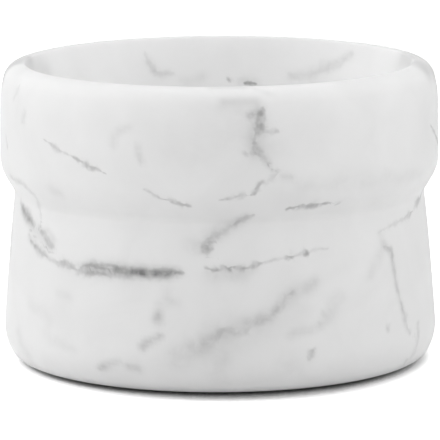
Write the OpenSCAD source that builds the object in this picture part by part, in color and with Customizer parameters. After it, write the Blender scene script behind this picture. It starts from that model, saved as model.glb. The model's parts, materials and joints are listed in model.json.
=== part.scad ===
// Open salt cellar turned from one block of white marble.
// A flared foot, a narrow waist and a wide straight collar round a smooth bowl.
// Four soft pads are glued into shallow seats under the base.
// Heights on the stone are counted from its own flat base.

/* [Foot] */
// Diameter of the flat base, measured to the sharp edge before rounding
base_d = 75.2; // [66:0.2:78]
// Radius of the edge between the base and the heel
base_edge_round = 3.2; // [1:0.1:6]
// Widest diameter of the foot, before the heel is rounded
heel_d = 79.3; // [78.5:0.1:84]
// Height of the heel's corner
heel_z = 4.2; // [2.5:0.1:8]
// Radius of the heel
heel_round = 9.2; // [3:0.1:14]
// Diameter half way up the flank
belly_d = 77.1; // [76:0.1:78]
// Height at which that diameter is measured
belly_z = 19; // [12:0.5:24]
// Radius of the long sweep up the flank
belly_round = 600; // [200:10:800]

/* [Waist] */
// Smallest outside diameter, under the collar
waist_d = 74.7; // [73:0.1:76]
// Height of the waist
waist_z = 30.7; // [28:0.1:33]
// Radius of the hollow corner at the waist
waist_round = 2.2; // [0.5:0.1:4]

/* [Collar] */
// Outside diameter of the collar at its lower corner
collar_d = 80; // [78:0.1:88]
// Height of the collar's lower corner
collar_z = 35.1; // [34:0.1:40]
// Radius that rolls the collar in towards the waist
collar_round = 7.2; // [2:0.1:10]
// Outside diameter where the collar starts to round over
shoulder_d = 79.6; // [78:0.1:84]
// Height at which it starts to round over
shoulder_z = 49.2; // [44:0.1:52]
// Radius of the soft shoulder
shoulder_round = 16.5; // [4:0.1:24]

/* [Rim and bowl] */
// Height of the stone from base to crest
stone_h = 54; // [53:0.5:64]
// Diameter of the crest's outer corner
crest_d = 77; // [74:0.1:78]
// Radius of the crest's outer corner
crest_round = 3.3; // [1:0.1:5]
// Diameter of the mouth, at the crest's inner corner
mouth_d = 70.4; // [64:0.1:72]
// Radius of the crest's inner corner
lip_round = 0.6; // [0.4:0.1:2]
// Diameter that the bowl's wall would have at its floor, without the rounding
bowl_low_d = 52; // [44:0.1:60]
// Thickness of the stone under the middle of the bowl
floor_t = 13; // [6:0.1:16]
// Radius between the bowl's wall and its floor
bowl_round = 27; // [12:0.5:30]

/* [Pads] */
// Diameter of one pad
pad_d = 10; // [6:0.1:14]
// Thickness of one pad
pad_t = 1.5; // [1:0.1:3]
// Radius of the pad's lower edge
pad_round = 0.3; // [0.1:0.05:0.4]
// How far the pads hold the stone off the table
pad_stand = 0.4; // [0.2:0.1:0.8]
// Gap all round a pad in its seat
pad_clearance = 0.3; // [0.1:0.05:0.6]
// Diameter of the circle that the pads lie on
pad_circle_d = 48; // [36:0.5:52]

/* [Quality] */
// Facets round the axis of the stone
turn_facets = 160; // [48:8:240]
// Facets round a pad and its seat
pad_facets = 64; // [24:8:96]

/* [Hidden] */

// Largest angle that one step of a rounded corner turns through, on the stone and on a pad
stone_arc_step = 6;
pad_arc_step = 18;
// Fewest steps on a rounded corner
arc_min_steps = 4;
// How far a cut runs past the face it opens
overrun = 1;
// Depth of a pad's seat in the base
seat_depth = pad_t - pad_stand;
// Angle of the first pad from the right-hand side
first_pad_angle = 45;

// Corners of the stone's half section, from the axis under the base, round
// the outside, over the rim and down the bowl to the axis again.
// Each is [radius from the axis, height, radius of the rounding there].
stone_corners = [
    [0, 0, 0],
    [base_d / 2, 0, base_edge_round],
    [heel_d / 2, heel_z, heel_round],
    [belly_d / 2, belly_z, belly_round],
    [waist_d / 2, waist_z, waist_round],
    [collar_d / 2, collar_z, collar_round],
    [shoulder_d / 2, shoulder_z, shoulder_round],
    [crest_d / 2, stone_h, crest_round],
    [mouth_d / 2, stone_h, lip_round],
    [bowl_low_d / 2, floor_t, bowl_round],
    [0, floor_t, 0]
];

// Corners of a pad's half section, in the same form
pad_corners = [
    [0, 0, 0],
    [pad_d / 2, 0, pad_round],
    [pad_d / 2, pad_t, 0],
    [0, pad_t, 0]
];

// Place of corner i, and the unit direction from it to corner j
function spot(c, i) = [c[i][0], c[i][1]];
function toward(c, i, j) = (spot(c, j) - spot(c, i)) / norm(spot(c, j) - spot(c, i));

// Half of the angle between the two sides that meet at corner i
function half_angle(c, i) = acos(toward(c, i, i - 1) * toward(c, i, i + 1)) / 2;

// How far along its sides the full rounding of corner i would reach
function full_reach(c, i) =
    i == 0 || i == len(c) - 1 || c[i][2] == 0 ? 0 : c[i][2] / tan(half_angle(c, i));

// The share of the side from corner i to corner j that their roundings leave them
function room_share(c, i, j) =
    let (wanted = full_reach(c, i) + full_reach(c, j))
    wanted == 0 ? 1 : min(1, norm(spot(c, j) - spot(c, i)) / wanted);

// The reach of corner i once it and its neighbours share their sides
function reach(c, i) =
    full_reach(c, i) * min(room_share(c, i, i - 1), room_share(c, i, i + 1));

// Points of a circular arc about a centre, from angle a0 through sweep
function arc(centre, radius, a0, sweep, arc_step) =
    let (steps = max(arc_min_steps, ceil(abs(sweep) / arc_step)))
    [for (k = [0 : steps]) centre + radius * [cos(a0 + sweep * k / steps), sin(a0 + sweep * k / steps)]];

// The smallest turn that leads from angle a to angle b
function turn(a, b) = (b - a + 900) % 360 - 180;

// Points that replace corner i: one arc that is tangent to both of its sides
function corner_points(c, i, arc_step) =
    full_reach(c, i) == 0 ? [spot(c, i)] :
    let (
        back = toward(c, i, i - 1),
        onward = toward(c, i, i + 1),
        half = half_angle(c, i),
        length = reach(c, i),
        radius = length * tan(half),
        centre = spot(c, i) + (back + onward) / norm(back + onward) * radius / sin(half),
        first = spot(c, i) + back * length - centre,
        last = spot(c, i) + onward * length - centre,
        a0 = atan2(first[1], first[0])
    )
    arc(centre, radius, a0, turn(a0, atan2(last[1], last[0])), arc_step);

// The whole outline with every corner rounded
function rounded(c, arc_step) = [for (i = [0 : len(c) - 1]) each corner_points(c, i, arc_step)];

// Moves its children to a pad's place on the pad circle
module at_pad(angle) {
    rotate([0, 0, angle]) translate([pad_circle_d / 2, 0, 0]) children();
}

// The turned stone: foot, waist, collar, rim and bowl in one piece
module bowl() {
    color([0.93, 0.93, 0.93])
    translate([0, 0, pad_stand])
    difference() {
        rotate_extrude($fn = turn_facets) polygon(rounded(stone_corners, stone_arc_step));
        for (quarter = [0 : 3]) at_pad(first_pad_angle + quarter * 90)
            translate([0, 0, -overrun])
                cylinder(d = pad_d + 2 * pad_clearance, h = seat_depth + overrun, $fn = pad_facets);
    }
}

// One soft pad, glued against the roof of its seat
module foot_pad(angle) {
    color([0.62, 0.62, 0.61])
    at_pad(angle)
        rotate_extrude($fn = pad_facets) polygon(rounded(pad_corners, pad_arc_step));
}

module foot_pad_back_right() { foot_pad(first_pad_angle); }
module foot_pad_back_left() { foot_pad(first_pad_angle + 90); }
module foot_pad_front_left() { foot_pad(first_pad_angle + 180); }
module foot_pad_front_right() { foot_pad(first_pad_angle + 270); }

bowl();
foot_pad_front_left();
foot_pad_front_right();
foot_pad_back_left();
foot_pad_back_right();
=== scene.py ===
"""An open salt cellar turned from white marble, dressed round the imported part. Lengths are in metres."""
import json
import math

import bpy
from mathutils import Matrix, Vector
from mathutils.bvhtree import BVHTree
from mathutils.geometry import interpolate_bezier
from mathutils.kdtree import KDTree

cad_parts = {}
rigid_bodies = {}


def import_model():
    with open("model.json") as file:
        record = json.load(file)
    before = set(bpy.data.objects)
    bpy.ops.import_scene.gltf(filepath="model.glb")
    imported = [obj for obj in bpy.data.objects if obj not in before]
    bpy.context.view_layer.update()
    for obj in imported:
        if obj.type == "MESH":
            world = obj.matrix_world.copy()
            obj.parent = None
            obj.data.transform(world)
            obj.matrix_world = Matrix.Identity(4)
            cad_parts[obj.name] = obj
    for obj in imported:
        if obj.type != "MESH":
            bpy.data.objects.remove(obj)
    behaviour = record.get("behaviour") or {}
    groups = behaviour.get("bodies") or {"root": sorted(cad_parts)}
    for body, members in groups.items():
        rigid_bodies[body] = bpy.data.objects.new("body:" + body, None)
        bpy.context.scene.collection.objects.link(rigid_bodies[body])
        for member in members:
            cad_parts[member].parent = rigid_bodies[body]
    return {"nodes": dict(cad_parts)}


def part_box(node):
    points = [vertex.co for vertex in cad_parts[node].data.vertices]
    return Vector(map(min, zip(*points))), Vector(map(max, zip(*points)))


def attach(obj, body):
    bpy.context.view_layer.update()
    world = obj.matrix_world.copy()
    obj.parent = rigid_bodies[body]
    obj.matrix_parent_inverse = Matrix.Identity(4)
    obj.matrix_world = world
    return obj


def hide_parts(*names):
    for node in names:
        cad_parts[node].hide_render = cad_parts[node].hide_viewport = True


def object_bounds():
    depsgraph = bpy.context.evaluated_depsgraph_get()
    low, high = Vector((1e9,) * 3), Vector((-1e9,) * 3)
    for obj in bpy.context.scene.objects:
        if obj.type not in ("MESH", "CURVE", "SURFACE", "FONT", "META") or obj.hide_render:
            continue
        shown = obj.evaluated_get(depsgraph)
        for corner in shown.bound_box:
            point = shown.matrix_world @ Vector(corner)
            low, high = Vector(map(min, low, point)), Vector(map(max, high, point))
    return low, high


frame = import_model()
cad_low, cad_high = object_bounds()

MM = 0.001

# Camera

# The photograph's frame is square. Pixels count from its top left corner.
IMAGE_PX = 440
# Focal length, and the column of the stone's axis, both in pixels of that frame
FOCAL_PX = 4149.8
AXIS_PX = 219.7
# The camera's place in front of the axis and above the table, how far it looks down, and its tilt
CAMERA_BACK = 748.3 * MM
CAMERA_UP = 152.0 * MM
CAMERA_PITCH = math.radians(9.637)
CAMERA_ROLL = math.radians(0.269)
SENSOR_MM = 36.0

# The turned stone

# How far the pads hold it off the table
PAD_STAND = 0.4 * MM
# Its half section, as the part has it, but with the collar 0.02 mm further in, so that it stays inside the
# part's facets. Each corner is (radius, height above the base, radius of the rounding).
STONE_CORNERS_MM = (
    (0, 0, 0),
    (37.6, 0, 3.2),
    (39.65, 4.2, 9.2),
    (38.55, 19.0, 600),
    (37.35, 30.7, 2.2),
    (39.98, 35.1, 7.2),
    (39.78, 49.2, 16.5),
    (38.5, 54.0, 3.3),
    (35.2, 54.0, 0.6),
    (26.0, 13.0, 27.0),
    (0, 13.0, 0),
)
# The longest side of a face along the outline, and the columns of faces round the stone
FACE_SIDE = 0.72 * MM
FACE_COLUMNS = 340
# The furthest that one step of a rounding turns, and the fewest steps on one
ARC_STEP = math.radians(4)
ARC_MIN_STEPS = 4
# Vertices closer together than this become one, which closes the spin's seam and its poles
SAME_POINT = 0.01 * MM
# Two faces that meet at less than this are shaded as one curve
SMOOTH_ANGLE = math.radians(40)

# The pads' seats: the gap round a pad, the facets, and how far below the table the cut starts
SEAT_CLEARANCE = 0.3 * MM
SEAT_SIDES = 96
OVERRUN = 1 * MM

PAD_NODES = (
    "foot_pad_front_left",
    "foot_pad_front_right",
    "foot_pad_back_left",
    "foot_pad_back_right",
)


def make_camera():
    """The camera that the photograph was taken with, as far as the outline tells."""
    data = bpy.data.cameras.new("camera")
    data.sensor_width = SENSOR_MM
    data.lens = SENSOR_MM * FOCAL_PX / IMAGE_PX
    made = bpy.data.objects.new("camera", data)
    bpy.context.scene.collection.objects.link(made)
    yaw = math.atan((AXIS_PX - IMAGE_PX / 2) / FOCAL_PX)
    turn = (
        Matrix.Rotation(yaw, 4, "Z")
        @ Matrix.Rotation(math.pi / 2 - CAMERA_PITCH, 4, "X")
        @ Matrix.Rotation(-CAMERA_ROLL, 4, "Z")
    )
    made.matrix_world = Matrix.Translation((0, -CAMERA_BACK, CAMERA_UP)) @ turn
    bpy.context.scene.camera = made
    bpy.context.view_layer.update()
    return made


camera = make_camera()


def deselect_all():
    """Clears the selection, because an operator acts on all that is selected."""
    for thing in bpy.context.view_layer.objects:
        thing.select_set(False)


def full_reach(corners, i):
    """How far along its sides the full rounding of corner i would reach."""
    if i in (0, len(corners) - 1) or corners[i][2] == 0:
        return 0.0
    spot = [Vector(c[:2]) for c in corners[i - 1 : i + 2]]
    half = (spot[0] - spot[1]).angle(spot[2] - spot[1]) / 2
    return corners[i][2] / math.tan(half)


def room_share(corners, i, j):
    """The share of the side between two corners that their roundings leave them."""
    wanted = full_reach(corners, i) + full_reach(corners, j)
    length = (Vector(corners[i][:2]) - Vector(corners[j][:2])).length
    return 1.0 if wanted == 0 else min(1.0, length / wanted)


def corner_points(corners, i):
    """The points that replace corner i: one arc that is tangent to both of its sides."""
    spot = Vector(corners[i][:2])
    if full_reach(corners, i) == 0:
        return [spot]
    back = (Vector(corners[i - 1][:2]) - spot).normalized()
    onward = (Vector(corners[i + 1][:2]) - spot).normalized()
    half = back.angle(onward) / 2
    share = min(room_share(corners, i, i - 1), room_share(corners, i, i + 1))
    reach = full_reach(corners, i) * share
    radius = reach * math.tan(half)
    centre = spot + (back + onward).normalized() * radius / math.sin(half)
    first = spot + back * reach - centre
    last = spot + onward * reach - centre
    sweep = first.angle_signed(last)
    steps = max(ARC_MIN_STEPS, math.ceil(abs(sweep) / ARC_STEP))
    arms = [Matrix.Rotation(-sweep * k / steps, 2) @ first for k in range(steps + 1)]
    return [centre + arm for arm in arms]


def outline_points():
    """The stone's half section as points no further apart than a face's side."""
    corners = [tuple(v * MM for v in corner) for corner in STONE_CORNERS_MM]
    rough = [p for i in range(len(corners)) for p in corner_points(corners, i)]
    fine = [rough[0]]
    for start, end in zip(rough[:-1], rough[1:]):
        parts = max(1, math.ceil((end - start).length / FACE_SIDE))
        fine += [start.lerp(end, k / parts) for k in range(1, parts + 1)]
    return fine


def turn_stone():
    """Draws the half section point by point and spins it about the axis, as a lathe would."""
    outline = outline_points()
    deselect_all()
    bpy.ops.mesh.primitive_plane_add(size=FACE_SIDE, location=(0, 0, 0))
    stone = bpy.context.object
    stone.name = "marble_bowl"
    stone.data.name = "marble_bowl"
    bpy.ops.object.mode_set(mode="EDIT")
    bpy.ops.mesh.select_mode(type="VERT")
    bpy.ops.mesh.select_all(action="SELECT")
    bpy.ops.mesh.merge(type="CENTER")
    bpy.ops.transform.translate(value=(outline[0].x, 0, outline[0].y + PAD_STAND))
    for start, end in zip(outline[:-1], outline[1:]):
        step = (end.x - start.x, 0, end.y - start.y)
        bpy.ops.mesh.extrude_region_move(TRANSFORM_OT_translate={"value": step})
    bpy.ops.mesh.select_all(action="SELECT")
    bpy.ops.mesh.spin(steps=FACE_COLUMNS, angle=math.tau, center=(0, 0, 0), axis=(0, 0, 1))
    bpy.ops.mesh.select_all(action="SELECT")
    bpy.ops.mesh.remove_doubles(threshold=SAME_POINT)
    bpy.ops.mesh.normals_make_consistent(inside=False)
    bpy.ops.object.mode_set(mode="OBJECT")
    return stone


def cut_seats(stone):
    """Bores the four shallow seats in the base that the pads are glued into. The first cylinder is a new
    object, and the others are added to it in edit mode."""
    deselect_all()
    for name in PAD_NODES:
        low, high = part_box(name)
        middle = (low + high) / 2
        bpy.ops.mesh.primitive_cylinder_add(
            vertices=SEAT_SIDES,
            radius=(high.x - low.x) / 2 + SEAT_CLEARANCE,
            depth=high.z + OVERRUN,
            location=(middle.x, middle.y, (high.z - OVERRUN) / 2),
        )
        bpy.ops.object.mode_set(mode="EDIT")
    bpy.ops.object.mode_set(mode="OBJECT")
    cutter = bpy.context.object
    bore = stone.modifiers.new("seats", "BOOLEAN")
    bore.operation = "DIFFERENCE"
    bore.solver = "EXACT"
    bore.object = cutter
    deselect_all()
    stone.select_set(True)
    bpy.context.view_layer.objects.active = stone
    bpy.ops.object.modifier_apply(modifier=bore.name)
    bpy.data.objects.remove(cutter)
    bpy.ops.object.shade_smooth_by_angle(angle=SMOOTH_ANGLE)


stone = turn_stone()
cut_seats(stone)
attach(stone, "root")
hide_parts("bowl")

# Veins

# Each vein is a darkness from 0 to 1 and the points it runs through.
# A point seen in the photograph is (column, row, half width in mm).
SEEN_VEINS = {
    "collar_slant": (0.28, [(43, 139, 0.1), (49, 143, 0.2), (57, 149, 0.32), (66, 153, 0.12)]),
    "collar_slant_low": (
        0.4,
        [
            (70, 155, 0.12), (78, 160, 0.22), (84, 163, 0.3), (90, 168, 0.42), (97, 169, 0.22),
            (106, 174, 0.08),
        ],
    ),
    "collar_flick": (0.1, [(19, 86, 0.3), (17, 91, 0.4), (14, 98, 0.3)]),
    "collar_fleck": (0.12, [(25, 113, 0.5), (23, 121, 0.5)]),
    "collar_edge_fleck": (0.2, [(6, 136, 0.2), (7, 143, 0.3), (8, 149, 0.2)]),
    "stem": (
        0.46,
        [
            (263, 110, 0.5), (261, 115, 0.6), (260, 120, 0.55), (260, 125, 0.62), (259, 130, 0.6),
            (256, 134, 0.4),
        ],
    ),
    "stem_low": (0.2, [(256, 134, 0.35), (254, 140, 0.2)]),
    "stem_twig": (0.27, [(261, 130, 0.3), (268, 132, 0.3), (278, 131, 0.3)]),
    "stem_knee": (0.24, [(253, 148, 0.4), (255, 151, 0.6), (257, 154, 0.35)]),
    "stem_bead": (0.28, [(264, 157, 0.3), (266, 160, 0.4)]),
    "stem_dash": (0.34, [(272, 169, 0.15), (276, 171, 0.3), (280, 172, 0.12)]),
    "stem_turn": (0.13, [(279, 172, 0.3), (272, 178, 0.4), (264, 183, 0.35)]),
    "hook": (0.38, [(262, 181, 0.12), (258, 187, 0.36), (254, 194, 0.25)]),
    "hook_tail": (0.3, [(249, 195, 0.15), (240, 196, 0.36), (232, 198, 0.22), (218, 200, 0.08)]),
    "waist_left": (0.26, [(143, 189, 0.15), (150, 192, 0.25), (158, 197, 0.12)]),
    "waist_left_low": (
        0.4,
        [(161, 199, 0.12), (169, 200, 0.26), (176, 203, 0.3), (184, 205, 0.36), (192, 207, 0.12)],
    ),
    "waist_right": (
        0.48,
        [
            (283, 210, 0.1), (291, 208, 0.35), (302, 206, 0.3), (313, 205, 0.42), (321, 204, 0.3),
            (329, 203, 0.15),
        ],
    ),
    "waist_dot": (0.28, [(335, 205, 0.2), (339, 203, 0.25)]),
    # A dark line that follows the collar's lower corner on the left
    "corner_line": (
        0.22,
        [(11, 178, 0.4), (22, 184, 0.5), (29, 190, 0.55), (35, 196, 0.5), (39, 204, 0.45), (41, 218, 0.25)],
    ),
    "left_strand": (
        0.36,
        [(21, 203, 0.4), (23, 210, 0.7), (28, 217, 0.95), (31, 221, 0.75), (34, 226, 0.35)],
    ),
    "left_shred": (0.28, [(41, 231, 0.35), (45, 236, 0.5), (48, 242, 0.5), (52, 247, 0.35)]),
    "left_branch": (0.32, [(31, 241, 0.3), (35, 246, 0.5), (40, 251, 0.55), (46, 256, 0.3)]),
    "left_branch_faint": (0.2, [(46, 256, 0.25), (50, 260, 0.3), (57, 262, 0.3)]),
    "left_knot": (0.36, [(57, 262, 0.3), (62, 263, 0.5), (66, 264, 0.6), (71, 267, 0.4)]),
    "left_join": (0.32, [(71, 267, 0.4), (77, 270, 0.4), (83, 273, 0.4)]),
    "band_top": (
        0.27,
        [
            (83, 266, 0.2), (90, 265, 0.45), (98, 265, 0.4), (105, 265, 0.2), (112, 266, 0.25),
            (119, 268, 0.5), (127, 270, 0.5),
        ],
    ),
    "band_foot": (
        0.3,
        [
            (77, 271, 0.3), (86, 273, 0.42), (95, 273, 0.38), (103, 274, 0.3), (110, 276, 0.3),
            (118, 276, 0.3),
        ],
    ),
    "band": (
        0.34,
        [
            (115, 271, 0.45), (124, 272, 0.75), (132, 272, 0.65), (140, 273, 0.7), (148, 274, 0.55),
            (157, 274, 0.7), (166, 273, 0.65), (174, 272, 0.5), (183, 273, 0.2),
        ],
    ),
    "beads_left": (0.44, [(205, 267, 0.12), (212, 270, 0.3), (220, 270, 0.15)]),
    "beads_middle": (0.44, [(221, 266, 0.2), (226, 268, 0.32), (232, 271, 0.15)]),
    "beads_right": (
        0.44,
        [(233, 267, 0.15), (241, 268, 0.28), (248, 268, 0.34), (255, 265, 0.34), (261, 263, 0.15)],
    ),
    "bead_thread": (0.2, [(260, 263, 0.15), (270, 261, 0.2), (279, 259, 0.16), (285, 258, 0.16)]),
    "bead_one": (0.65, [(288, 257, 0.36), (291, 257, 0.36)]),
    "bead_thread_right": (0.2, [(292, 257, 0.12), (298, 255, 0.2), (304, 252, 0.3)]),
    "bead_two": (0.68, [(305, 252, 0.4), (307, 253, 0.42)]),
    "bead_thread_end": (0.2, [(308, 251, 0.2), (313, 250, 0.25), (320, 249, 0.15), (329, 248, 0.12)]),
    "blob_tip": (0.22, [(254, 215, 0.2), (246, 217, 0.4), (240, 220, 0.4), (233, 225, 0.3)]),
    "blob_trail": (
        0.2,
        [
            (229, 227, 0.35), (224, 231, 0.5), (218, 235, 0.45), (213, 236, 0.45), (207, 240, 0.35),
            (204, 244, 0.3),
        ],
    ),
    "blob": (0.36, [(203, 245, 0.35), (205, 249, 0.5), (209, 249, 0.45), (213, 249, 0.2)]),
    "right_edge": (0.4, [(423, 189, 0.2), (420, 197, 0.3), (417, 203, 0.55), (414, 207, 0.12)]),
    "right_edge_beads": (0.36, [(413, 211, 0.12), (410, 213, 0.25), (406, 217, 0.45), (403, 219, 0.12)]),
    "right_edge_tail": (0.16, [(403, 219, 0.25), (396, 223, 0.3), (388, 227, 0.3), (379, 232, 0.25)]),
    "right_knee": (0.24, [(384, 247, 0.2), (391, 250, 0.42), (392, 259, 0.33)]),
    "right_drop": (
        0.19,
        [
            (392, 259, 0.25), (394, 270, 0.35), (395, 278, 0.18), (397, 288, 0.35), (399, 296, 0.2),
            (402, 308, 0.28),
        ],
    ),
    "right_drop_low": (0.2, [(402, 308, 0.3), (405, 316, 0.45), (406, 325, 0.35), (410, 332, 0.35)]),
    "right_low": (
        0.17,
        [(418, 324, 0.5), (418, 334, 0.55), (417, 345, 0.6), (412, 356, 0.6), (406, 361, 0.5)],
    ),
    "right_dot": (0.2, [(388, 326, 0.35), (388, 329, 0.35)]),
    "sweep_thread": (
        0.13,
        [
            (293, 292, 0.3), (287, 297, 0.4), (282, 305, 0.45), (276, 312, 0.5), (269, 319, 0.5),
            (256, 323, 0.55), (247, 330, 0.45),
        ],
    ),
    "sweep_dash": (
        0.15,
        [
            (248, 331, 0.4), (241, 334, 0.45), (234, 334, 0.3), (228, 330, 0.4), (221, 332, 0.45),
            (217, 338, 0.4),
        ],
    ),
    "low_spot": (0.32, [(313, 350, 0.3), (310, 354, 0.45), (309, 357, 0.5)]),
    "inner_left": (
        0.17,
        [(145, 52, 0.2), (147, 59, 0.35), (151, 65, 0.6), (154, 70, 0.45), (156, 74, 0.4)],
    ),
    "inner_left_foot": (0.13, [(156, 74, 0.5), (163, 74, 0.5), (173, 73, 0.3)]),
    "inner_right": (0.1, [(290, 75, 0.5), (303, 76, 0.7), (311, 75, 0.8), (318, 72, 0.6), (328, 70, 0.5)]),
    "inner_right_top": (
        0.1,
        [(321, 64, 0.5), (330, 66, 0.7), (338, 64, 0.7), (344, 60, 0.5), (352, 54, 0.3)],
    ),
    "inner_spot": (0.65, [(243, 83, 0.12), (247, 83, 0.28), (252, 83, 0.28), (257, 84, 0.1)]),
}

# Soft grey clouds, in the same form
SEEN_CLOUDS = {
    "low_blob": (0.26, [(159, 315, 0.95), (158, 320, 1.0)]),
    "low_tail": (0.28, [(160, 336, 0.6), (152, 341, 0.75), (146, 344, 0.85), (142, 347, 0.75)]),
    "low_arc": (0.21, [(99, 368, 0.5), (105, 366, 0.8), (118, 362, 0.6)]),
    "low_arc_right": (0.18, [(126, 366, 0.5), (138, 369, 0.8)]),
    "low_faint": (0.08, [(160, 303, 1.0), (176, 303, 0.9)]),
    "low_fainter": (0.05, [(168, 290, 1.0), (168, 297, 1.0)]),
    "sweep_haze": (0.09, [(314, 283, 1.2), (294, 294, 1.6), (276, 310, 1.8), (255, 322, 2.0)]),
    "sweep_haze_low": (0.1, [(238, 328, 2.0), (222, 334, 2.2), (205, 344, 2.4), (178, 357, 2.2)]),
    "sweep_tip": (0.07, [(314, 281, 0.8), (307, 290, 0.9)]),
    "sweep_top": (0.08, [(292, 293, 0.8), (281, 300, 0.7), (276, 308, 0.6)]),
    "sweep": (0.13, [(276, 308, 0.6), (270, 315, 0.65), (259, 320, 0.8), (247, 323, 0.8)]),
    "sweep_middle": (0.08, [(232, 331, 0.9), (222, 329, 0.8), (216, 335, 0.9), (205, 342, 0.9)]),
    "sweep_end": (0.05, [(205, 342, 1.1), (190, 350, 1.2), (174, 358, 1.2)]),
    "sweep_knot": (0.09, [(220, 336, 0.9), (213, 341, 1.3), (200, 346, 1.5)]),
    "side_sweep": (0.09, [(340, 296, 1.2), (334, 303, 1.4), (331, 314, 1.3), (322, 324, 1.0)]),
    "side_sweep_spot": (0.12, [(323, 313, 0.5), (324, 314, 0.5)]),
    "side_sweep_low": (0.12, [(320, 325, 0.6), (311, 330, 0.8), (300, 332, 0.9), (291, 335, 0.8)]),
    "foot_smudge": (0.07, [(222, 360, 2.2), (220, 374, 2.2)]),
    "foot_right_smudge": (0.05, [(285, 362, 1.8), (300, 372, 1.8)]),
    "collar_arch": (0.09, [(129, 127, 0.6), (117, 133, 0.8), (113, 145, 0.9)]),
    "collar_comma": (0.16, [(138, 147, 0.6), (139, 155, 0.6), (142, 162, 0.5)]),
    "collar_grey": (0.05, [(222, 104, 1.6), (238, 106, 1.6), (250, 132, 3.0), (262, 150, 3.0)]),
    "collar_grey_left": (0.025, [(165, 145, 4.0), (190, 160, 4.0), (215, 130, 5.0)]),
    "collar_smudge": (0.12, [(284, 177, 0.6), (291, 177, 0.6)]),
    "stem_dot": (0.3, [(245, 153, 0.35), (246, 154, 0.35)]),
    "stem_lobe": (0.3, [(249, 117, 0.5), (253, 114, 0.6), (258, 112, 0.6)]),
    "stem_link": (0.1, [(254, 141, 0.6), (262, 156, 0.6), (270, 167, 0.5)]),
    # A soft darker band along the collar's lower roll
    "collar_band": (
        0.06,
        [
            (300, 187, 1.2), (330, 184, 1.6), (352, 182, 1.6), (375, 179, 1.6), (402, 176, 1.4),
            (422, 173, 1.2),
        ],
    ),
    "rim_faint": (0.07, [(254, 89, 0.6), (262, 91, 0.6), (270, 94, 0.6)]),
    "waist_faint": (0.07, [(52, 190, 1.0), (60, 194, 1.0)]),
    "blob_halo": (0.15, [(247, 217, 0.8), (226, 228, 1.2), (210, 238, 1.4), (205, 246, 1.5)]),
    "blob_side": (0.1, [(190, 246, 1.4), (200, 248, 1.6)]),
    "stem_halo": (0.12, [(259, 110, 1.5), (257, 130, 1.5), (254, 148, 1.6)]),
    "band_halo": (0.1, [(62, 263, 1.0), (84, 269, 1.4), (112, 270, 1.7), (150, 273, 1.4), (178, 273, 0.9)]),
    "band_body": (0.26, [(84, 269, 0.8), (97, 269, 1.1), (112, 270, 1.1), (122, 271, 0.9)]),
    "band_blot_left": (0.18, [(90, 266, 0.6), (102, 267, 0.6)]),
    "band_blot": (0.24, [(117, 269, 0.8), (121, 272, 0.8)]),
    "band_blot_middle": (0.24, [(131, 272, 0.7), (142, 273, 0.7)]),
    "band_blot_right": (0.28, [(156, 274, 0.6), (173, 273, 0.6)]),
    "band_body_right": (
        0.26,
        [(126, 272, 1.0), (138, 272, 1.0), (150, 273, 0.9), (168, 273, 0.95), (178, 272, 0.6)],
    ),
    "bead_halo": (0.09, [(210, 272, 1.0), (235, 271, 1.2), (255, 268, 0.9)]),
    "bead_shade": (0.05, [(212, 278, 1.3), (245, 277, 1.3)]),
    "left_halo": (0.12, [(23, 209, 1.0), (34, 228, 1.2), (48, 244, 1.2)]),
    "left_body": (0.24, [(22, 206, 0.6), (26, 214, 0.9), (30, 220, 0.8)]),
    "left_branch_body": (0.14, [(29, 237, 0.6), (38, 249, 0.8), (46, 256, 0.6)]),
    "left_patch": (0.14, [(41, 229, 0.7), (45, 235, 1.0), (48, 241, 1.1), (53, 247, 0.8)]),
    "left_sliver": (0.08, [(47, 229, 0.5), (51, 234, 0.6), (55, 240, 0.5)]),
    "knee_body": (
        0.12,
        [(384, 244, 0.6), (391, 252, 0.8), (394, 270, 0.6), (399, 296, 0.6), (405, 318, 0.7)],
    ),
    "knee_faint": (0.1, [(381, 237, 0.8), (383, 243, 0.8)]),
    "knee_fainter": (0.09, [(383, 247, 0.9), (379, 256, 1.0), (374, 266, 1.0), (370, 276, 0.9)]),
    "left_low_faint": (
        0.05,
        [(30, 305, 1.2), (48, 318, 1.4), (48, 334, 1.4), (62, 344, 1.0), (74, 350, 0.8)],
    ),
    "left_faint": (0.05, [(58, 293, 0.8), (70, 297, 0.9)]),
    "left_foot": (0.08, [(18, 332, 1.2), (22, 347, 1.4), (30, 358, 1.2)]),
    "inner_haze": (0.07, [(182, 80, 0.8), (192, 81, 1.0), (203, 76, 0.9)]),
    "inner_dot": (0.5, [(229, 79, 0.3), (230, 79, 0.3)]),
    "inner_spot_shade": (0.1, [(238, 82, 0.5), (247, 81, 0.8), (258, 83, 0.6)]),
    "inner_right_haze": (
        0.08,
        [(292, 77, 1.0), (305, 75, 1.2), (318, 70, 1.2), (334, 65, 1.2), (350, 56, 1.0)],
    ),
    "inner_left_haze": (0.08, [(148, 60, 0.7), (152, 67, 0.8), (158, 74, 0.8), (172, 73, 0.5)]),
}
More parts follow.
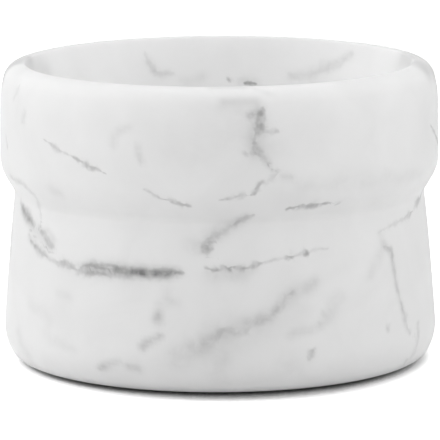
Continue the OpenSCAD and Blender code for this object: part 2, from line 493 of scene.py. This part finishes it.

# Painted shade, in the same form: even grey with no puffs, where the rim's ends and the crest turn from the
# light, at the waist under the collar, and low on the body
SEEN_PAINTED_SHADES = {
    "painted_shade_rim_left": (0.12, [(18, 62, 3.0), (26, 60, 3.2), (36, 66, 2.8), (46, 71, 2.2)]),
    "painted_shade_rim_right": (0.11, [(402, 59, 3.2), (410, 60, 3.4)]),
    "painted_shade_rim_right_low": (0.15, [(416, 62, 2.6), (422, 67, 2.6), (426, 72, 2.2)]),
    "painted_shade_crest": (0.13, [(212, 88, 0.9), (228, 88, 1.0), (243, 88, 1.0)]),
    "painted_shade_crest_left": (0.2, [(15, 64, 1.8), (20, 60, 2.0), (27, 57, 2.0)]),
    "painted_shade_crest_right": (0.18, [(404, 54, 1.6), (412, 57, 2.0), (419, 62, 2.2), (425, 69, 2.0)]),
    "painted_shade_foot": (0.05, [(110, 368, 2.0), (150, 364, 2.4), (190, 362, 2.4), (224, 358, 2.4)]),
    "painted_shade_side_low": (0.045, [(236, 342, 2.4), (262, 334, 2.4), (288, 326, 2.4), (302, 310, 2.0)]),
    "painted_shade_waist": (0.03, [(283, 197, 2.0), (312, 200, 2.0)]),
}

# The outside that the photograph doesn't show. A point is (degrees round from the front, height in mm,
# half width in mm).
HIDDEN_VEINS = {
    "back_band": (0.8, [(96, 21, 0.3), (112, 24, 0.7), (128, 23, 1.0), (141, 25, 0.6), (152, 24, 0.2)]),
    "back_band_tail": (0.5, [(152, 24, 0.2), (166, 26, 0.3), (180, 30, 0.3), (192, 31, 0.15)]),
    "back_strand": (0.45, [(100, 30, 0.2), (113, 34, 0.3), (124, 38, 0.4), (133, 42, 0.2)]),
    "back_drop": (0.45, [(205, 6, 0.2), (210, 15, 0.4), (219, 24, 0.5), (224, 33, 0.3), (236, 40, 0.2)]),
    "back_twig": (0.35, [(219, 24, 0.3), (233, 21, 0.3), (246, 22, 0.15)]),
    "back_collar": (0.4, [(170, 38, 0.15), (177, 34, 0.4), (186, 31, 0.5), (197, 33, 0.3), (206, 36, 0.2)]),
    "side_right": (0.35, [(72, 44, 0.15), (82, 40, 0.3), (91, 38, 0.25), (101, 33, 0.2)]),
    "side_left": (0.4, [(246, 46, 0.2), (257, 41, 0.3), (266, 34, 0.4), (274, 27, 0.3), (280, 19, 0.15)]),
}
HIDDEN_CLOUDS = {
    "back_haze": (0.16, [(120, 14, 2.0), (140, 12, 2.5), (160, 16, 2.0)]),
    "back_haze_high": (0.12, [(195, 39, 2.0), (215, 38, 2.5)]),
    "side_haze": (0.14, [(250, 12, 1.8), (262, 8, 2.2)]),
    "back_sweep": (0.18, [(172, 8, 1.5), (186, 14, 1.6), (196, 21, 1.4)]),
}

# The floor of the bowl, and the underside. A point is (mm to the right, mm towards the back, half width
# in mm).
FLOOR_VEINS = {
    "floor_long": (0.45, [(-24, 10, 0.3), (-12, 6, 0.5), (-2, 7, 0.6), (10, 2, 0.4), (20, -8, 0.25)]),
    "floor_twig": (0.35, [(-2, 7, 0.4), (4, 15, 0.3), (13, 20, 0.2)]),
    "floor_short": (0.3, [(-14, -14, 0.2), (-6, -17, 0.4), (3, -16, 0.2)]),
}
BASE_VEINS = {
    "base_long": (0.45, [(-34, -8, 0.4), (-20, -3, 0.6), (-4, -6, 0.8), (12, 2, 0.5), (30, 6, 0.3)]),
    "base_twig": (0.4, [(-4, -6, 0.5), (2, -16, 0.4), (11, -26, 0.25)]),
    "base_short": (0.3, [(-16, 18, 0.25), (-5, 24, 0.4), (8, 22, 0.25)]),
}

# How far a vein goes round and down as it goes through the wall of the bowl
THROUGH_TURN = math.radians(3)
THROUGH_DROP = 2.0 * MM
# What is left of its width and darkness on the other side
THROUGH_SHARE = 0.8
# Points on the curve from one point of a vein to the next, both ends counted
CURVE_POINTS = 24
# Distance between the samples along a vein, and along a cloud
VEIN_STEP = 0.15 * MM
CLOUD_STEP = 0.6 * MM
# A vein marks the vertices within this many of its half widths, and this much more, of its middle
VEIN_REACH_WIDTHS = 2.5
VEIN_REACH = 1.3 * MM
# A cloud thins out from its middle and ends this many half widths from it
CLOUD_REACH_WIDTHS = 2.6
# The distance and the half width written where there is no vein
VEIN_FAR_MM = 8.0
VEIN_NONE_MM = 1.0
# A ray from outside starts this far from the axis or the table
CLEAR = 0.2
# Two neighbouring points of a vein further apart than this lie on different sides of the rim
JUMP = 3 * MM

# The stone's faces, for casting rays at them
TREE = BVHTree.FromObject(stone, bpy.context.evaluated_depsgraph_get())


def seen_spot(x, y):
    """The place on the stone under a pixel of the photograph."""
    offset = Vector((x - IMAGE_PX / 2, IMAGE_PX / 2 - y, -FOCAL_PX))
    ray = camera.matrix_world.to_3x3() @ offset.normalized()
    return TREE.ray_cast(camera.matrix_world.translation, ray)[0]


def facing(angle):
    """The level direction away from the axis at an angle from the front, towards the right."""
    return Vector((math.sin(angle), -math.cos(angle), 0))


def outside_spot(degrees, height):
    """The place on the outside at an angle and a height in mm."""
    away = facing(math.radians(degrees))
    return TREE.ray_cast(away * CLEAR + Vector((0, 0, height * MM)), -away)[0]


def floor_spot(x, y):
    """The place on the bowl's floor at a distance in mm to the right and towards the back."""
    return TREE.ray_cast(Vector((x * MM, y * MM, CLEAR)), Vector((0, 0, -1)))[0]


def base_spot(x, y):
    """The place on the underside, in the same terms."""
    return TREE.ray_cast(Vector((x * MM, y * MM, -CLEAR)), Vector((0, 0, 1)))[0]


# Height of the bowl's floor at its middle
BOWL_FLOOR = floor_spot(0, 0).z


def across_wall(spot):
    """Where a vein at this place comes out on the other side of the bowl's wall, or None."""
    away = facing(math.atan2(spot.x, -spot.y) + THROUGH_TURN)
    level = Vector((0, 0, spot.z - THROUGH_DROP))
    outer = TREE.ray_cast(away * CLEAR + level, -away)[0]
    inner = TREE.ray_cast(level, away)[0]
    if outer is None or inner is None or level.z < BOWL_FLOOR:
        return None
    is_outer = (spot.xy.length - inner.xy.length) > (outer.xy.length - spot.xy.length)
    return inner if is_outer else outer


def smooth_run(points):
    """Points close together on a smooth curve through the given ones, each (u, v, half width). The handles
    at a point lie along the line between its neighbours, and each is a sixth of it long."""
    run = []
    knots = [Vector(p) for p in points]
    ends = [knots[0]] + knots + [knots[-1]]
    for i in range(1, len(ends) - 2):
        start, end = ends[i], ends[i + 1]
        out = start + (end - ends[i - 1]) / 6
        back = end - (ends[i + 2] - start) / 6
        run += interpolate_bezier(start, out, back, end, CURVE_POINTS)[:-1]
    return run + [knots[-1]]


def vein_samples(points, spot_of, step):
    """[(place on the stone, half width in metres)] along one vein, no further apart than step."""
    places = [(spot_of(p.x, p.y), p.z * MM) for p in smooth_run(points)]
    places = [(place, width) for place, width in places if place is not None]
    samples = []
    for (here, wide), (there, wide_there) in zip(places[:-1], places[1:]):
        if (there - here).length > JUMP:
            continue
        parts = max(1, math.ceil((there - here).length / step))
        for k in range(parts):
            samples.append((here.lerp(there, k / parts), wide + (wide_there - wide) * k / parts))
    return samples + places[-1:]


def through_wall(samples):
    """The same samples where the vein comes out on the other side of the wall."""
    crossed = [(across_wall(place), width * THROUGH_SHARE) for place, width in samples]
    return [(place, width) for place, width in crossed if place is not None]


def all_runs(step, tables):
    """Every vein, cloud or patch of painted shade, as (darkness, samples), with those that show again
    through the wall.
    """
    runs = []
    for table, spot_of, goes_through in tables:
        for dark, points in table.values():
            samples = vein_samples(points, spot_of, step)
            runs.append((dark, samples))
            if goes_through:
                runs.append((dark * THROUGH_SHARE, through_wall(samples)))
    return runs


# Each table with what finds its places, and whether its veins show again through the wall
VEINS = (
    (SEEN_VEINS, seen_spot, True),
    (HIDDEN_VEINS, outside_spot, True),
    (FLOOR_VEINS, floor_spot, False),
    (BASE_VEINS, base_spot, False),
)
CLOUDS = (
    (SEEN_CLOUDS, seen_spot, True),
    (HIDDEN_CLOUDS, outside_spot, True),
)
# Painted shade, laid out like the clouds
PAINTED_SHADES = ((SEEN_PAINTED_SHADES, seen_spot, True),)


def cloud_values(vertex_tree, count, tables):
    """How cloudy the stone is, or how much painted shade it has, at each of its vertices, from 0 to 1."""
    values = [0.0] * count
    for dark, samples in all_runs(CLOUD_STEP, tables):
        nearness = {}
        for place, width in samples:
            for _, i, distance in vertex_tree.find_range(place, width * CLOUD_REACH_WIDTHS):
                nearness[i] = max(nearness.get(i, 0), math.exp(-((distance / width) ** 2)))
        for i, near in nearness.items():
            values[i] = 1 - (1 - values[i]) * (1 - dark * near)
    return values


def vein_values(vertex_tree, count):
    """For each vertex the way and the distance to its nearest vein in mm, that vein's half width in mm and
    its darkness, which fades over the outer half of the vein's reach."""
    nearest = [math.inf] * count
    offsets = [0.0, 0.0, VEIN_FAR_MM] * count
    gaps = [VEIN_FAR_MM] * count
    widths = [VEIN_NONE_MM] * count
    darks = [0.0] * count
    for dark, samples in all_runs(VEIN_STEP, VEINS):
        for place, width in samples:
            reach = width * VEIN_REACH_WIDTHS + VEIN_REACH
            for co, i, distance in vertex_tree.find_range(place, reach):
                if distance - width >= nearest[i]:
                    continue
                nearest[i] = distance - width
                offsets[3 * i : 3 * i + 3] = (co - place) / MM
                gaps[i] = distance / MM
                widths[i] = width / MM
                darks[i] = dark * min(1.0, 2 * (1 - distance / reach))
    return offsets, gaps, widths, darks


def mark_veins(stone):
    """Writes the veins, the clouds and the painted shade to the stone's vertices. The material draws the
    veins from the ways to them, so the mesh only has to be as fine as the gaps between veins, and not as a
    vein's edge."""
    mesh = stone.data
    count = len(mesh.vertices)
    vertex_tree = KDTree(count)
    for vertex in mesh.vertices:
        vertex_tree.insert(vertex.co, vertex.index)
    vertex_tree.balance()
    offsets, gaps, widths, darks = vein_values(vertex_tree, count)
    for name, kind, key, values in (
        ("vein_offset", "FLOAT_VECTOR", "vector", offsets),
        ("vein_gap", "FLOAT", "value", gaps),
        ("vein_width", "FLOAT", "value", widths),
        ("vein_dark", "FLOAT", "value", darks),
        ("cloud", "FLOAT", "value", cloud_values(vertex_tree, count, CLOUDS)),
        # The haze attribute holds the painted shade
        ("haze", "FLOAT", "value", cloud_values(vertex_tree, count, PAINTED_SHADES)),
    ):
        layer = mesh.attributes.new(name, kind, "POINT")
        layer.data.foreach_set(key, values)


mark_veins(stone)

# Materials


def linear(code):
    """An sRGB hex colour as linear RGBA."""
    parts = [int(code[i : i + 2], 16) / 255 for i in (1, 3, 5)]
    made = [c / 12.92 if c <= 0.04045 else ((c + 0.055) / 1.055) ** 2.4 for c in parts]
    return (*made, 1.0)


def put(tree, kind, inputs=None, **settings):
    """Adds one node. Its settings come by name, and each input is a value or the socket it is linked to."""
    made = tree.nodes.new(kind)
    for name, value in settings.items():
        setattr(made, name, value)
    for key, value in (inputs or {}).items():
        if isinstance(value, bpy.types.NodeSocket):
            tree.links.new(value, made.inputs[key])
        else:
            made.inputs[key].default_value = value
    return made


def new_material(name):
    """An empty node material and its tree."""
    made = bpy.data.materials.new(name)
    made.use_nodes = True
    made.node_tree.nodes.clear()
    return made, made.node_tree


# The sizes of the marble's patterns are in mm

CALCITE_WHITE = "#F2F2F2"
VEIN_GREY = "#595959"
# The calcite grains that a vein threads between, and how far they push it from side to side
GRAIN_SIZE = 2.0
GRAIN_PUSH = 0.46
# Each of a noise's three colours swings about this
NOISE_MIDDLE = (0.5, 0.5, 0.5)
# A pushed vein comes no more than this nearer than the plain distance says. Half way between two veins the
# ways to them cancel out, and only the plain distance is right there.
NEARER_MOST = 0.7
# How far apart the beads in a vein are, and the shares of its half width by which it thins and swells.
# A vein with more than the last half width thins and swells no more than one with that.
BEAD_SIZE = 1.4
BEAD_THIN = -0.55
BEAD_THICK = 0.6
BEADED_HALF_WIDTH = 0.4
# How many half widths from its middle a vein's grey begins to fade, and ends
VEIN_FULL = 0.1
VEIN_GONE = 1.9
# That grey is mottled, between these shares of a vein's darkness
MOTTLE_SIZE = 1.2
MOTTLE_LIGHT = 0.32
MOTTLE_DARK = 0.76
# How many half widths off the stain round a vein begins to fade, and ends, and its share of the darkness
STAIN_FULL = 0.8
STAIN_GONE = 3.0
STAIN_DARK = 0.14
# A cloud is puffy, between these shares of its darkness
PUFF_SIZE = 2.5
PUFF_LIGHT = 0.5
PUFF_DARK = 1.4
# A faint unevenness all through the stone
DRIFT_SIZE = 12
DRIFT_DARK = 0.05
# Honing leaves a very fine tooth, drawn as coarse as it needs to show
TOOTH_SIZE = 0.4
TOOTH_DEPTH = 0.05 * MM
# The white takes a little more sheen than the grey
WHITE_ROUGHNESS = 0.6
GREY_ROUGHNESS = 0.7
# How far light goes into the stone, the same for every colour
LIGHT_DEPTH = 5 * MM


def vein_grey(tree, spot):
    """How grey the veins make the stone, from what mark_veins wrote to its vertices."""
    offset = put(tree, "ShaderNodeAttribute", attribute_name="vein_offset").outputs["Vector"]
    gap = put(tree, "ShaderNodeAttribute", attribute_name="vein_gap").outputs["Fac"]
    width = put(tree, "ShaderNodeAttribute", attribute_name="vein_width").outputs["Fac"]
    dark = put(tree, "ShaderNodeAttribute", attribute_name="vein_dark").outputs["Fac"]

    # The distance to the pushed vein
    grain = put(tree, "ShaderNodeTexNoise", {"Vector": spot, "Scale": 1 / GRAIN_SIZE, "Detail": 2.0})
    grain = grain.outputs["Color"]
    push = put(tree, "ShaderNodeVectorMath", {0: grain, 1: NOISE_MIDDLE}, operation="SUBTRACT").outputs[0]
    push = put(tree, "ShaderNodeVectorMath", {0: push, "Scale": GRAIN_PUSH}, operation="SCALE").outputs[0]
    pushed = put(tree, "ShaderNodeVectorMath", {0: offset, 1: push}, operation="ADD").outputs[0]
    distance = put(tree, "ShaderNodeVectorMath", {0: pushed}, operation="LENGTH").outputs["Value"]
    least = put(tree, "ShaderNodeMath", {0: gap, 1: NEARER_MOST}, operation="SUBTRACT").outputs[0]
    distance = put(tree, "ShaderNodeMath", {0: distance, 1: least}, operation="MAXIMUM").outputs[0]

    # That distance in half widths, which thin and swell into beads
    swell = put(tree, "ShaderNodeTexNoise", {"Vector": spot, "Scale": 1 / BEAD_SIZE, "Detail": 1.5})
    swell = put(
        tree,
        "ShaderNodeMapRange",
        {
            "Value": swell.outputs["Fac"],
            "From Min": 0.34,
            "From Max": 0.66,
            "To Min": BEAD_THIN,
            "To Max": BEAD_THICK,
        },
    ).outputs[0]
    beaded = put(tree, "ShaderNodeMath", {0: width, 1: BEADED_HALF_WIDTH}, operation="MINIMUM").outputs[0]
    width = put(tree, "ShaderNodeMath", {0: beaded, 1: swell, 2: width}, operation="MULTIPLY_ADD").outputs[0]
    share = put(tree, "ShaderNodeMath", {0: distance, 1: width}, operation="DIVIDE").outputs[0]

    # The mottled vein with the stain round it
    core = put(
        tree,
        "ShaderNodeMapRange",
        {"Value": share, "From Min": VEIN_FULL, "From Max": VEIN_GONE, "To Min": 1, "To Max": 0},
        interpolation_type="SMOOTHSTEP",
    ).outputs[0]
    mottle = put(tree, "ShaderNodeTexNoise", {"Vector": spot, "Scale": 1 / MOTTLE_SIZE, "Detail": 1.0})
    mottle = put(
        tree,
        "ShaderNodeMapRange",
        {
            "Value": mottle.outputs["Fac"],
            "From Min": 0.36,
            "From Max": 0.62,
            "To Min": MOTTLE_LIGHT,
            "To Max": MOTTLE_DARK,
        },
    ).outputs[0]
    stain = put(
        tree,
        "ShaderNodeMapRange",
        {"Value": share, "From Min": STAIN_FULL, "From Max": STAIN_GONE, "To Min": STAIN_DARK, "To Max": 0},
        interpolation_type="SMOOTHSTEP",
    ).outputs[0]
    vein = put(tree, "ShaderNodeMath", {0: core, 1: mottle, 2: stain}, operation="MULTIPLY_ADD").outputs[0]
    return put(tree, "ShaderNodeMath", {0: vein, 1: dark}, operation="MULTIPLY").outputs[0]


def cloud_grey_and_painted_shade(tree, spot):
    """How grey the puffed clouds make the stone, with the even painted shade added."""
    cloud = put(tree, "ShaderNodeAttribute", attribute_name="cloud").outputs["Fac"]
    # The haze attribute is painted shade, where the rim, the crest, the waist and the low body turn from the
    # light
    haze = put(tree, "ShaderNodeAttribute", attribute_name="haze").outputs["Fac"]
    puff = put(
        tree,
        "ShaderNodeTexNoise",
        {"Vector": spot, "Scale": 1 / PUFF_SIZE, "Detail": 3.0, "Distortion": 0.4},
    )
    puff = put(
        tree,
        "ShaderNodeMapRange",
        {
            "Value": puff.outputs["Fac"],
            "From Min": 0.3,
            "From Max": 0.7,
            "To Min": PUFF_LIGHT,
            "To Max": PUFF_DARK,
        },
    ).outputs[0]
    return put(tree, "ShaderNodeMath", {0: cloud, 1: puff, 2: haze}, operation="MULTIPLY_ADD").outputs[0]


def drift_grey(tree, spot):
    """How grey the unevenness all through the stone makes it."""
    drift = put(
        tree,
        "ShaderNodeTexNoise",
        {"Vector": spot, "Scale": 1 / DRIFT_SIZE, "Detail": 5.0, "Distortion": 0.8},
    )
    return put(
        tree,
        "ShaderNodeMapRange",
        {
            "Value": drift.outputs["Fac"],
            "From Min": 0.35,
            "From Max": 0.75,
            "To Min": 0,
            "To Max": DRIFT_DARK,
        },
    ).outputs[0]


def honed_marble():
    """White Carrara marble: a dense calcite, turned, then honed with fine grit and not polished, so it has
    a soft sheen and no mirror, and light goes a few millimetres into it. Grey veins with ragged, beaded
    edges run through a faintly clouded white, and even grey painted shade darkens it where the rim, the
    crest, the waist and the low body turn from the light."""
    made, tree = new_material("honed_carrara_marble")
    spot = put(tree, "ShaderNodeTexCoord").outputs["Object"]
    spot = put(tree, "ShaderNodeVectorMath", {0: spot, "Scale": 1 / MM}, operation="SCALE").outputs[0]
    # The grey of the veins and clouds, with the painted shade in it
    grey = put(
        tree,
        "ShaderNodeMath",
        {0: vein_grey(tree, spot), 1: cloud_grey_and_painted_shade(tree, spot)},
        operation="ADD",
    ).outputs[0]
    grey = put(
        tree,
        "ShaderNodeMath",
        {0: grey, 1: drift_grey(tree, spot)},
        operation="ADD",
        use_clamp=True,
    ).outputs[0]
    colour = put(
        tree,
        "ShaderNodeMix",
        {"Factor": grey, 6: linear(CALCITE_WHITE), 7: linear(VEIN_GREY)},
        data_type="RGBA",
    )
    tooth = put(tree, "ShaderNodeTexNoise", {"Vector": spot, "Scale": 1 / TOOTH_SIZE, "Detail": 2.0})
    bump = put(
        tree,
        "ShaderNodeBump",
        {"Strength": 0.06, "Distance": TOOTH_DEPTH, "Height": tooth.outputs["Fac"]},
    )
    sheen = put(
        tree,
        "ShaderNodeMapRange",
        {"Value": grey, "To Min": WHITE_ROUGHNESS, "To Max": GREY_ROUGHNESS},
    )
    shader = put(
        tree,
        "ShaderNodeBsdfPrincipled",
        {
            "Base Color": colour.outputs[2],
            "Roughness": sheen.outputs[0],
            "IOR": 1.5,
            "Normal": bump.outputs[0],
            "Subsurface Weight": 1.0,
            "Subsurface Radius": (1.0, 1.0, 1.0),
            "Subsurface Scale": LIGHT_DEPTH,
        },
    )
    put(tree, "ShaderNodeOutputMaterial", {"Surface": shader.outputs[0]})
    return made


# The rubber's two greys, and the size in mm and the depth of its grain
RUBBER_GREY = "#6E6E6C"
RUBBER_PALE = "#7C7C7A"
RUBBER_GRAIN = 0.5
RUBBER_DEPTH = 0.05 * MM


def moulded_rubber():
    """Nitrile rubber: pads stamped from moulded sheet, so dull, soft grey and finely grained."""
    made, tree = new_material("moulded_nitrile_rubber")
    spot = put(tree, "ShaderNodeTexCoord").outputs["Object"]
    spot = put(tree, "ShaderNodeVectorMath", {0: spot, "Scale": 1 / MM}, operation="SCALE").outputs[0]
    grain = put(tree, "ShaderNodeTexNoise", {"Vector": spot, "Scale": 1 / RUBBER_GRAIN, "Detail": 3.0})
    grain = grain.outputs["Fac"]
    colour = put(
        tree,
        "ShaderNodeMix",
        {"Factor": grain, 6: linear(RUBBER_GREY), 7: linear(RUBBER_PALE)},
        data_type="RGBA",
    )
    bump = put(tree, "ShaderNodeBump", {"Strength": 0.3, "Distance": RUBBER_DEPTH, "Height": grain})
    shader = put(
        tree,
        "ShaderNodeBsdfPrincipled",
        {"Base Color": colour.outputs[2], "Roughness": 0.85, "IOR": 1.5, "Normal": bump.outputs[0]},
    )
    put(tree, "ShaderNodeOutputMaterial", {"Surface": shader.outputs[0]})
    return made


def wear(thing, material):
    """Gives a piece this one material."""
    thing.data.materials.clear()
    thing.data.materials.append(material)


wear(stone, honed_marble())
rubber = moulded_rubber()
for pad_name in PAD_NODES:
    wear(frame["nodes"][pad_name], rubber)

# Stage

FLOOR_SIDE = 6.0
# The floor as light meets it, and as the camera sees it, which turns its open part white
FLOOR_GREY = 0.85
FLOOR_SEEN = 2.15
# Close under the stone's edge hardly any of the room's light comes in, and the camera sees the floor darken
# there. How open the floor is, is measured this far round, leaning to the back, where the stone stands in
# the way, and a little to the left, because the shade is longer on the right.
CONTACT_REACH = 12 * MM
CONTACT_LEAN = math.radians(70)
CONTACT_TURN = -0.13
CONTACT_SAMPLES = 16
# The floor is darkest where it is less open than the first share, has its full tone where it is more open
# than the second, and keeps the third share of that tone where it is darkest
SKY_DARK = 0.35
SKY_BRIGHT = 0.6
DARKEST_TONE = 0.08

# Soft square lamps: place, side and power in watts. Each faces the middle of the stone.
LAMPS = {
    "left_front_softbox": ((-0.7, -0.4, 0.4), 0.6, 1.15),
    "right_front_softbox": ((0.7, -0.4, 0.4), 0.6, 0.5),
    "front_softbox": ((0, -0.82, 0.4), 0.6, 1.35),
    "left_softbox": ((-0.82, 0, 0.4), 0.6, 2.2),
    "right_softbox": ((0.82, 0, 0.4), 0.6, 2.8),
    "left_back_softbox": ((-0.7, 0.4, 0.4), 0.6, 1.1),
    "top_front_softbox": ((0, -0.45, 0.8), 0.6, 2.2),
    "top_back_softbox": ((0, 0.33, 0.89), 0.36, 2.1),
}


def seen_rays(tree):
    """1 for a ray that looks at the background itself or by way of gloss or glass, and 0 for light."""
    path = put(tree, "ShaderNodeLightPath")
    both = put(
        tree,
        "ShaderNodeMath",
        {0: path.outputs["Is Camera Ray"], 1: path.outputs["Is Glossy Ray"]},
        operation="MAXIMUM",
    )
    return put(
        tree,
        "ShaderNodeMath",
        {0: both.outputs[0], 1: path.outputs["Is Transmission Ray"]},
        operation="MAXIMUM",
    ).outputs[0]


def lay_floor():
    """A plain pale floor that keeps the object's shadow. The camera sees it as white where it is open, and
    darker close under the stone's edge."""
    deselect_all()
    bpy.ops.mesh.primitive_plane_add(size=FLOOR_SIDE, location=(0, 0, 0))
    floor = bpy.context.object
    floor.name = "floor"
    made, tree = new_material("pale_floor")
    lean = put(
        tree,
        "ShaderNodeCombineXYZ",
        {"X": CONTACT_TURN, "Y": math.sin(CONTACT_LEAN), "Z": math.cos(CONTACT_LEAN)},
    )
    sky = put(
        tree,
        "ShaderNodeAmbientOcclusion",
        {"Distance": CONTACT_REACH, "Normal": lean.outputs[0]},
        samples=CONTACT_SAMPLES,
    )
    seen = put(
        tree,
        "ShaderNodeMapRange",
        {
            "Value": sky.outputs["AO"],
            "From Min": SKY_DARK,
            "From Max": SKY_BRIGHT,
            "To Min": FLOOR_SEEN * DARKEST_TONE,
            "To Max": FLOOR_SEEN,
        },
    )
    shade = put(tree, "ShaderNodeMix", {0: seen_rays(tree), 2: FLOOR_GREY, 3: seen.outputs[0]}).outputs[0]
    colour = put(tree, "ShaderNodeCombineColor", {0: shade, 1: shade, 2: shade})
    diffuse = put(tree, "ShaderNodeBsdfDiffuse", {"Color": colour.outputs[0]})
    put(tree, "ShaderNodeOutputMaterial", {"Surface": diffuse.outputs[0]})
    wear(floor, made)


def light_world():
    """A surround that is seen as white, itself or in a gloss, and gives no other light."""
    world = bpy.data.worlds.new("surround")
    bpy.context.scene.world = world
    world.use_nodes = True
    tree = world.node_tree
    tree.nodes.clear()
    back = put(tree, "ShaderNodeBackground", {"Color": linear("#FFFFFF"), "Strength": seen_rays(tree)})
    put(tree, "ShaderNodeOutputWorld", {"Surface": back.outputs[0]})


def hang_lamps():
    """The soft lamps round the table."""
    target = Vector((0, 0, (cad_low.z + cad_high.z) / 2))
    for name, (place, side, power) in LAMPS.items():
        data = bpy.data.lights.new(name, "AREA")
        data.shape = "SQUARE"
        data.size = side
        data.energy = power
        lamp = bpy.data.objects.new(name, data)
        bpy.context.scene.collection.objects.link(lamp)
        lamp.location = place
        lamp.rotation_euler = (Vector(place) - target).to_track_quat("Z", "Y").to_euler()


lay_floor()
light_world()
hang_lamps()
bpy.context.scene.view_settings.view_transform = "Standard"
